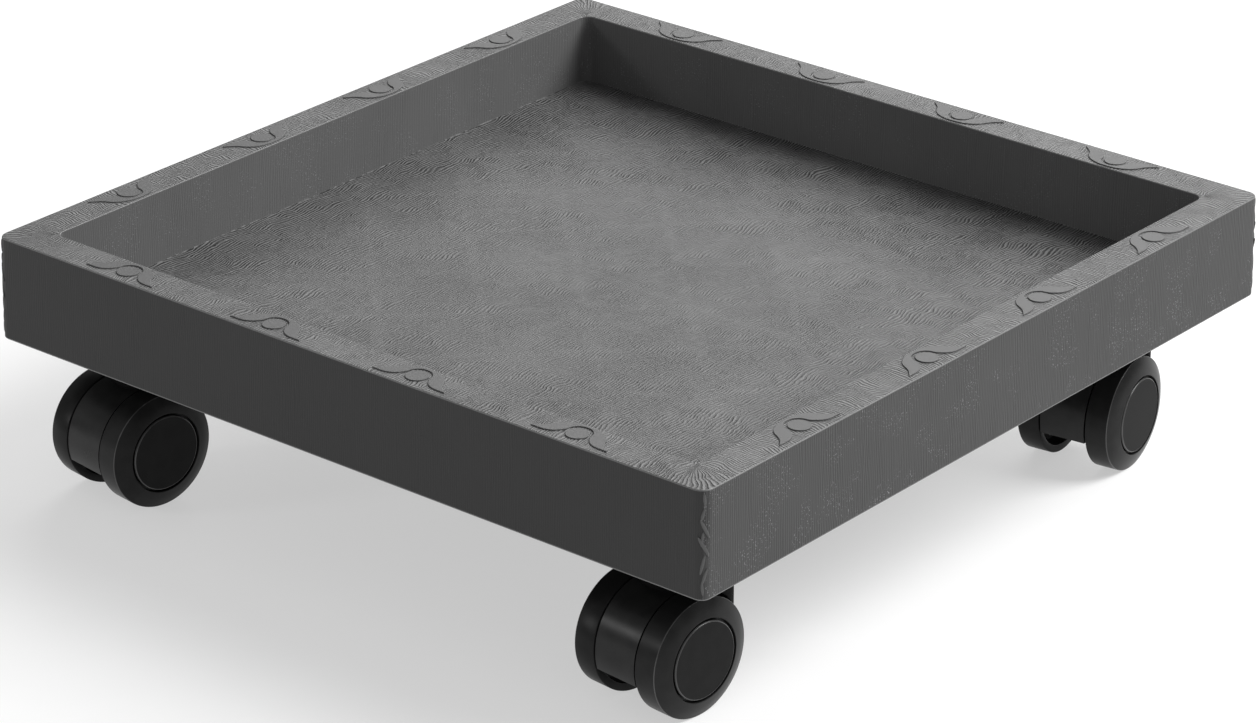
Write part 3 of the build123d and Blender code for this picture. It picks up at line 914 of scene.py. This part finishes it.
# Hood. Black nylon, moulded: a drum between the wheels, open below, and a round neck above it that
# turns on the stem. Its edges are a little rounded, and the lower one carries a painted highlight.
HOOD_RADIUS = 19.8 * MM
HOOD_HALF = 8.3 * MM
HOOD_EDGE = 6.2 * MM
HOOD_WALL = 2.0 * MM
NECK_RADIUS = 15.2 * MM
NECK_LOW = 26.0 * MM
NECK_HIGH = 47.2 * MM
NECK_ROOF = 3.0 * MM
STEM_BOSS_RADIUS = 6.8 * MM
STEM_BOSS_LOW = 32.5 * MM
AXLE_BOSS_RADIUS = 5.2 * MM
WHEEL_RADIUS = 20.0 * MM
WHEEL_CLEARANCE = 1.0 * MM
STEM_BORE = 4.05 * MM
CIRCLIP_ROOM = 7.0 * MM
STEM_LOW = 30.0 * MM
AXLE_BORE = 3.0 * MM
HOOD_ROUND = 0.35 * MM
HOOD_MERGED = 0.02 * MM
HOOD_SHARP = 40
ROUND_SEGMENTS = 3
NECK_SIDES = 96
BORE_SIDES = 48
BOSS_SIDES = 40

hood = axle_cylinder(HOOD_RADIUS, -HOOD_HALF, HOOD_HALF)
neck = cylinder(NECK_RADIUS, NECK_LOW, NECK_HIGH, sides=NECK_SIDES)
wheel_room = both_sides(WHEEL_RADIUS + WHEEL_CLEARANCE, HOOD_HALF, NECK_RADIUS + WALL)
combine(neck, wheel_room, "DIFFERENCE")
combine(hood, neck, "UNION")
neck_room = cylinder(NECK_RADIUS - HOOD_WALL, 0, NECK_HIGH - NECK_ROOF, sides=NECK_SIDES)
wall_radius = WHEEL_RADIUS + WHEEL_CLEARANCE + HOOD_WALL
walls = both_sides(wall_radius, HOOD_HALF - HOOD_WALL, NECK_RADIUS + WALL)
combine(neck_room, walls, "DIFFERENCE")
combine(hood, neck_room, "DIFFERENCE")
room_half = HOOD_HALF - HOOD_WALL
combine(hood, axle_cylinder(HOOD_RADIUS - HOOD_WALL, -room_half, room_half), "DIFFERENCE")
boss_half = HOOD_HALF - OVERLAP
axle_boss = axle_cylinder(AXLE_BOSS_RADIUS, -boss_half, boss_half, sides=BOSS_SIDES)
combine(hood, axle_boss, "UNION")
stem_boss = cylinder(STEM_BOSS_RADIUS, STEM_BOSS_LOW, NECK_HIGH - OVERLAP, sides=BORE_SIDES)
combine(hood, stem_boss, "UNION")
spine_height = STEM_BOSS_LOW + HOOD_WALL - AXLE_HEIGHT
bpy.ops.object.select_all(action="DESELECT")
bpy.ops.mesh.primitive_cube_add(size=1.0, location=(0, -TRAIL, AXLE_HEIGHT + spine_height / 2))
spine = bpy.context.object
spine.scale = (HOOD_WALL, TRAIL, spine_height)
bpy.ops.object.transform_apply()
combine(hood, spine, "UNION")
combine(hood, cylinder(CIRCLIP_ROOM, STEM_LOW, STEM_BOSS_LOW, sides=BORE_SIDES), "DIFFERENCE")
combine(hood, cylinder(STEM_BORE, STEM_LOW, NECK_HIGH + WALL, sides=BORE_SIDES), "DIFFERENCE")
bore_half = HOOD_HALF + WALL
combine(hood, axle_cylinder(AXLE_BORE, -bore_half, bore_half, sides=BORE_SIDES), "DIFFERENCE")
make_active(hood)
bpy.ops.object.mode_set(mode="EDIT")
bpy.ops.mesh.select_all(action="SELECT")
bpy.ops.mesh.bisect(plane_co=(0, 0, AXLE_HEIGHT - HOOD_EDGE), plane_no=(0, 0, 1), use_fill=True,
                    clear_inner=True)
bpy.ops.mesh.select_all(action="SELECT")
bpy.ops.mesh.remove_doubles(threshold=HOOD_MERGED)
bpy.ops.mesh.normals_make_consistent(inside=False)
bpy.ops.object.mode_set(mode="OBJECT")
apply_modifier(hood, "BEVEL", width=HOOD_ROUND, segments=ROUND_SEGMENTS, limit_method="ANGLE",
               angle_limit=radians(HOOD_SHARP))
smooth(hood, HOOD_SHARP)
HIGHLIGHT_DARK = "#3e3e3e"
HIGHLIGHT_LIGHT = "#4a4a4a"
hood_finishes = {
    # Black, with a soft gloss along the curve.
    "drum": nylon("moulded black nylon hood", "#1c1c1c", "#232323", roughness=0.3,
                  gloss_level=0.22),
    # Painted paler as painted highlight, and shiny: a thin light line under the drum.
    "lip": nylon("black nylon lip, painted highlight", HIGHLIGHT_DARK, HIGHLIGHT_LIGHT, roughness=0.3,
                 gloss_level=0.4),
    # Matt, and painted the darkest of all as painted shade, where it stands under the tray.
    "neck": nylon("matt black nylon neck, painted shade", "#0c0c0c", "#111111", roughness=0.75,
                  gloss_level=0.05, grit_depth=0.02 * MM),
}


def off_axle(face):
    """How far a face is from the axle's line."""
    return Vector((face.center.y + TRAIL, face.center.z - AXLE_HEIGHT)).length


def hood_finish(face):
    """The drum has a soft gloss, the edge below it carries a painted highlight, and the neck is matt and painted
    dark as painted shade.
    """
    at_lip = face.center.z < AXLE_HEIGHT - HOOD_EDGE + HOOD_ROUND
    if at_lip and -LEVEL < face.normal.z < -SLOPING:
        return "lip"
    return "drum" if off_axle(face) < HOOD_RADIUS + HOOD_ROUND else "neck"


give_finishes(hood, hood_finishes, hood_finish)

# Wheels. Black nylon, moulded hard: a flat tread, a coned face, and a dished back round a hub
# that snaps on to the axle. The section is drawn and spun about the axle.
# Each point is a distance from the caster's middle, a radius, and whether it is pointed.
WHEEL_SECTION = (
    (17.6, 13.9, True), (17.6, 3.05, True), (8.9, 3.05, True), (8.9, 5.6, True),
    (15.6, 5.6, True), (15.6, 11.4, True), (14.6, 17.4, True), (8.9, 17.4, True),
    (8.9, 20.0, True), (17.0, 20.0, True), (18.4, 17.0, False), (19.4, 13.9, True),
)
CAP_SECTION = (
    (17.6, 0.0, True), (17.6, 13.1, True), (19.2, 13.1, True), (19.55, 12.75, True),
    (19.7, 0.0, True),
)
SPIN_STEPS = 96
SPUN_ROUND = 0.2 * MM
SPUN_BEVEL_FROM = 30
SPUN_SHARP = 35


def spun(name, section, closed):
    """A section, in millimetres from the caster's middle and the axle, spun about the axle."""
    drawn = bezier(name, section, closed)
    bpy.ops.object.convert(target="MESH")
    drawn = bpy.context.object
    drawn.rotation_euler = (pi / 2, 0, 0)
    drawn.location = (0, *AXLE)
    bpy.ops.object.transform_apply()
    bpy.ops.object.mode_set(mode="EDIT")
    bpy.ops.mesh.select_all(action="SELECT")
    bpy.ops.mesh.spin(steps=SPIN_STEPS, angle=2 * pi, center=(0, *AXLE), axis=(1, 0, 0))
    bpy.ops.mesh.select_all(action="SELECT")
    bpy.ops.mesh.remove_doubles(threshold=MERGED)
    bpy.ops.mesh.normals_make_consistent(inside=False)
    bpy.ops.object.mode_set(mode="OBJECT")
    apply_modifier(drawn, "BEVEL", width=SPUN_ROUND, segments=ROUND_SEGMENTS,
                   limit_method="ANGLE", angle_limit=radians(SPUN_BEVEL_FROM))
    smooth(drawn, SPUN_SHARP)
    return drawn


def with_painted_highlight_edge(least_radius, steepest):
    """A chooser for a spun piece, whose outer rounded edge takes a painted highlight and the rest is as moulded.
    """
    def choose(face):
        rounded = SLOPING < face.normal.x < steepest and off_axle(face) > least_radius
        return "edge" if rounded else "moulded"
    return choose


# Painted paler as painted highlight, and shiny: a thin light ring round the wheel, and another round its cap.
highlight_nylon = nylon("black nylon edge, painted highlight", HIGHLIGHT_DARK, HIGHLIGHT_LIGHT, roughness=0.3,
                     gloss_level=0.4)
wheel = spun("wheel", WHEEL_SECTION, closed=True)
wheel_finishes = {
    # Black, with little gloss.
    "moulded": nylon("moulded black nylon wheel", "#1b1b1b", "#222222", roughness=0.33,
                     gloss_level=0.13),
    "edge": highlight_nylon,
}
give_finishes(wheel, wheel_finishes, with_painted_highlight_edge(least_radius=19.3 * MM, steepest=0.85))
cap = spun("hub_cap", CAP_SECTION, closed=False)
cap_finishes = {
    # Blacker than the wheel, the darker tone being painted shade against the key light on its outward face, and
    # duller, with a fine grit.
    "moulded": nylon("spark-eroded black nylon cap, painted shade", "#121212", "#191919", roughness=0.6,
                     gloss_level=0.12, grit=0.35 * MM, grit_depth=0.03 * MM),
    "edge": highlight_nylon,
}
give_finishes(cap, cap_finishes, with_painted_highlight_edge(least_radius=12.5 * MM, steepest=0.96))

# Steel: the stem, its two rings and the axle are zinc plated, and stay as the frame has them. The
# plating is bright and faintly blue, with fine streaks that blur what it mirrors.
ZINC_DARK = "#8f9296"
ZINC_LIGHT = "#a9abae"
ZINC_STREAK = 0.4 * MM
ZINC_STREAK_LENGTH = 4.0 * MM
zinc, tree, place = new_material("zinc-plated steel")
streaks = stretched_noise(tree, place, ZINC_STREAK, ZINC_STREAK, ZINC_STREAK_LENGTH)
tone = add(tree, "ShaderNodeMix", {0: streaks, 6: linear(ZINC_DARK), 7: linear(ZINC_LIGHT)}, out=2,
           data_type="RGBA")
gloss = add(tree, "ShaderNodeMapRange", {"Value": streaks, "To Min": 0.28, "To Max": 0.42})
finish_with(tree, {"Base Color": tone, "Metallic": 1.0, "Roughness": gloss})

for corner in CORNERS:
    foot = (*pivots[corner].xy, 0)
    piece = placed_copy(hood, f"{corner}_hood_shell", foot, turns[corner])
    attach(piece, f"{corner}_caster")
    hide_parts(f"{corner}_hood")
    for side in ("right", "left"):
        for master, node, slot in ((wheel, "wheel", "wheel_nylon"), (cap, "hub_cap", "cap_nylon")):
            piece = placed_copy(master, f"{corner}_{side}_{node}_moulding", foot, turns[corner],
                                mirrored=side == "left")
            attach(piece, f"{corner}_{side}_wheel")
            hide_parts(f"{corner}_{node}_{side}")
    for node in ("stem", "grip_ring", "circlip", "axle"):
        for slot in frame["nodes"][f"{corner}_{node}"].material_slots:
            slot.link = "OBJECT"
            slot.material = zinc
for master in (hood, wheel, cap):
    bpy.data.objects.remove(master)
